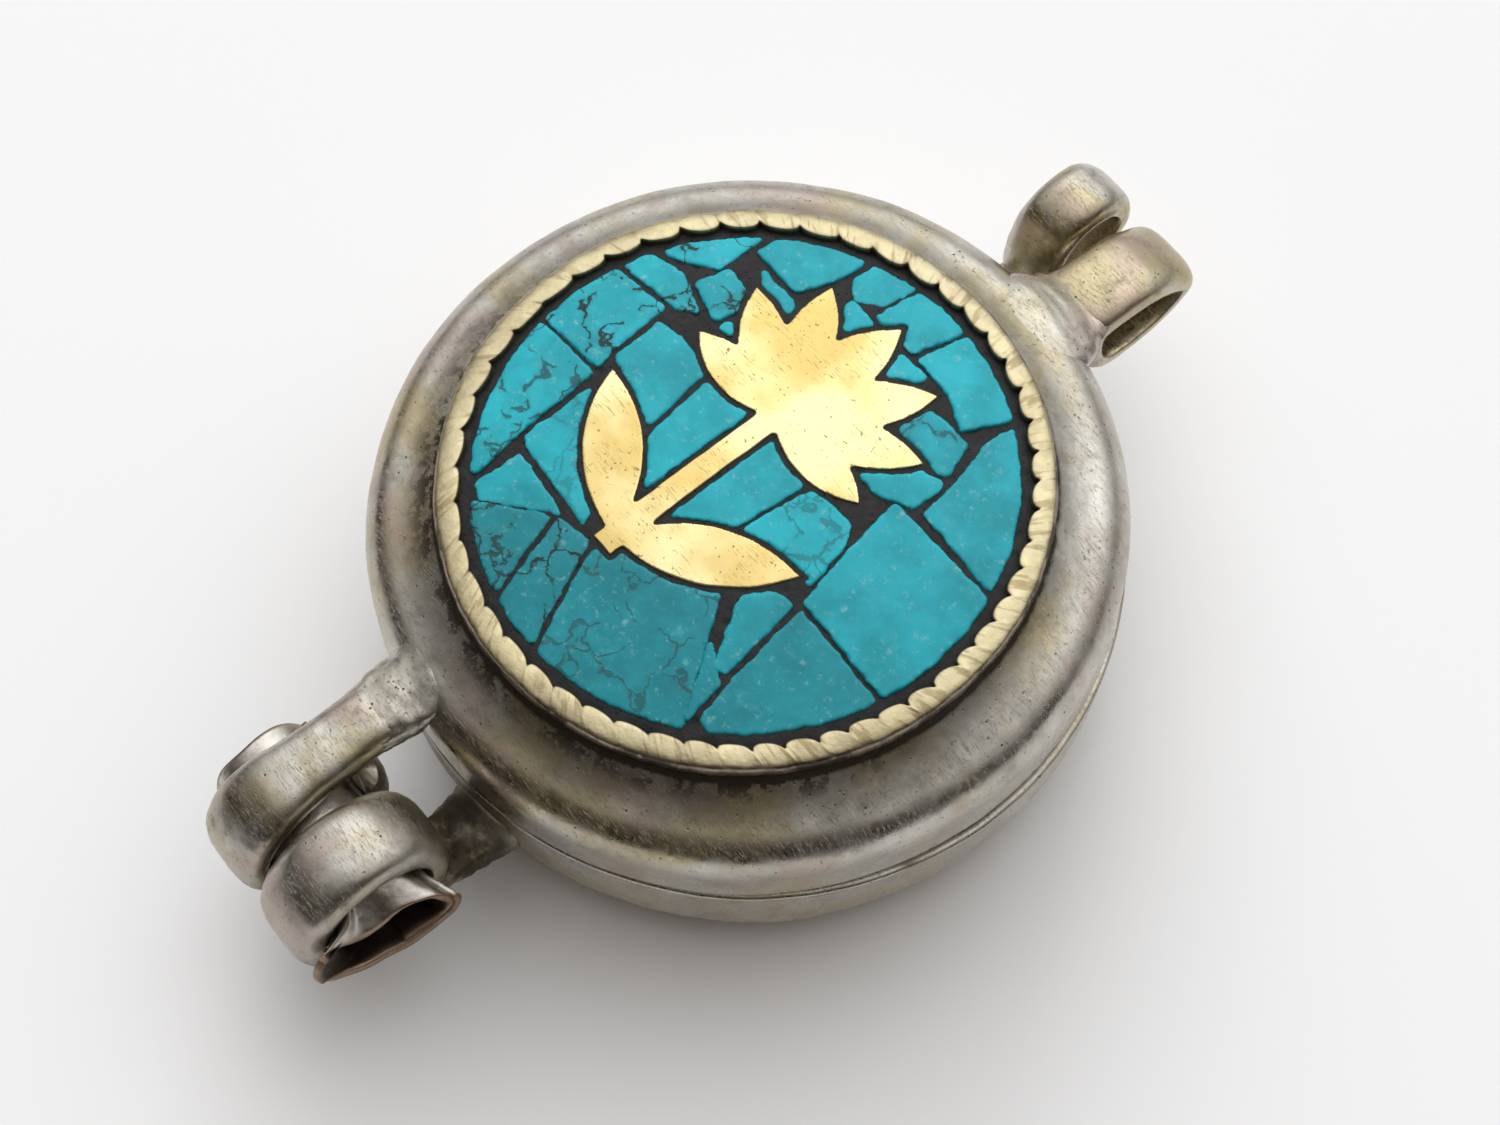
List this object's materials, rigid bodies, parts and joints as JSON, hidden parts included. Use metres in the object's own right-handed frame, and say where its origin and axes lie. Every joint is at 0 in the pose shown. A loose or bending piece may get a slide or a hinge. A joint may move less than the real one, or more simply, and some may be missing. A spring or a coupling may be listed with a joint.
{
  "type": "amulet box pendant",
  "caption": "Round hinged amulet box pendant with a stone mosaic face, a loose hinge tube and a pair of cord loops that hold it shut.",
  "frame": {"origin": "centre of the flat back that the pendant lies on", "axes": "+Z along the mosaic face's normal, +Y from the hinge towards the cord loops, X along the hinge axis"},
  "size_m": [0.032, 0.0487, 0.0136],
  "materials": {
    "white_metal": "tarnished nickel silver, hand worked, brushed and scratched",
    "bezel_brass": "filed pale brass",
    "emblem_brass": "polished brass with fine scratches",
    "mastic": "black filler ground flush, satin",
    "turquoise": "waxy polish",
    "paper": "handmade paper, blank",
    "thread": "twisted cotton"
  },
  "bodies": {
    "back_half": {"back_shell": "white_metal", "locating_band": "white_metal", "back_hinge_strap": "white_metal", "back_cord_loop": "white_metal", "paper_scroll": "paper", "scroll_thread": "thread"},
    "front_half": {"front_shell": "white_metal", "bezel_wire": "bezel_brass", "mastic_bed": "mastic", "brass_lotus": "emblem_brass", "front_hinge_strap": "white_metal", "front_cord_loop": "white_metal", "turquoise_stone_1": "turquoise", "turquoise_stone_2": "turquoise", "turquoise_stone_3": "turquoise", "turquoise_stone_4": "turquoise", "turquoise_stone_5": "turquoise", "turquoise_stone_6": "turquoise", "turquoise_stone_7": "turquoise", "turquoise_stone_8": "turquoise", "turquoise_stone_9": "turquoise", "turquoise_stone_10": "turquoise", "turquoise_stone_11": "turquoise", "turquoise_stone_12": "turquoise", "turquoise_stone_13": "turquoise", "turquoise_stone_14": "turquoise", "turquoise_stone_15": "turquoise", "turquoise_stone_16": "turquoise", "turquoise_stone_17": "turquoise", "turquoise_stone_18": "turquoise", "turquoise_stone_19": "turquoise", "turquoise_stone_20": "turquoise", "turquoise_stone_21": "turquoise", "turquoise_stone_22": "turquoise", "turquoise_stone_23": "turquoise", "turquoise_stone_24": "turquoise", "turquoise_stone_25": "turquoise", "turquoise_stone_26": "turquoise", "turquoise_stone_27": "turquoise", "turquoise_stone_28": "turquoise", "turquoise_stone_29": "turquoise"},
    "hinge_barrel": {"hinge_tube": "white_metal"}
  },
  "joints": [
    {"name": "lid_hinge", "type": "hinge", "parent": "back_half", "child": "front_half", "pos_m": [0, -0.0219, 0.007], "axis": [1, 0, 0], "range_deg": [0, 180]},
    {"name": "tube_spin", "type": "hinge", "parent": "back_half", "child": "hinge_barrel", "pos_m": [0, -0.0219, 0.007], "axis": [1, 0, 0], "continuous": true}
  ]
}
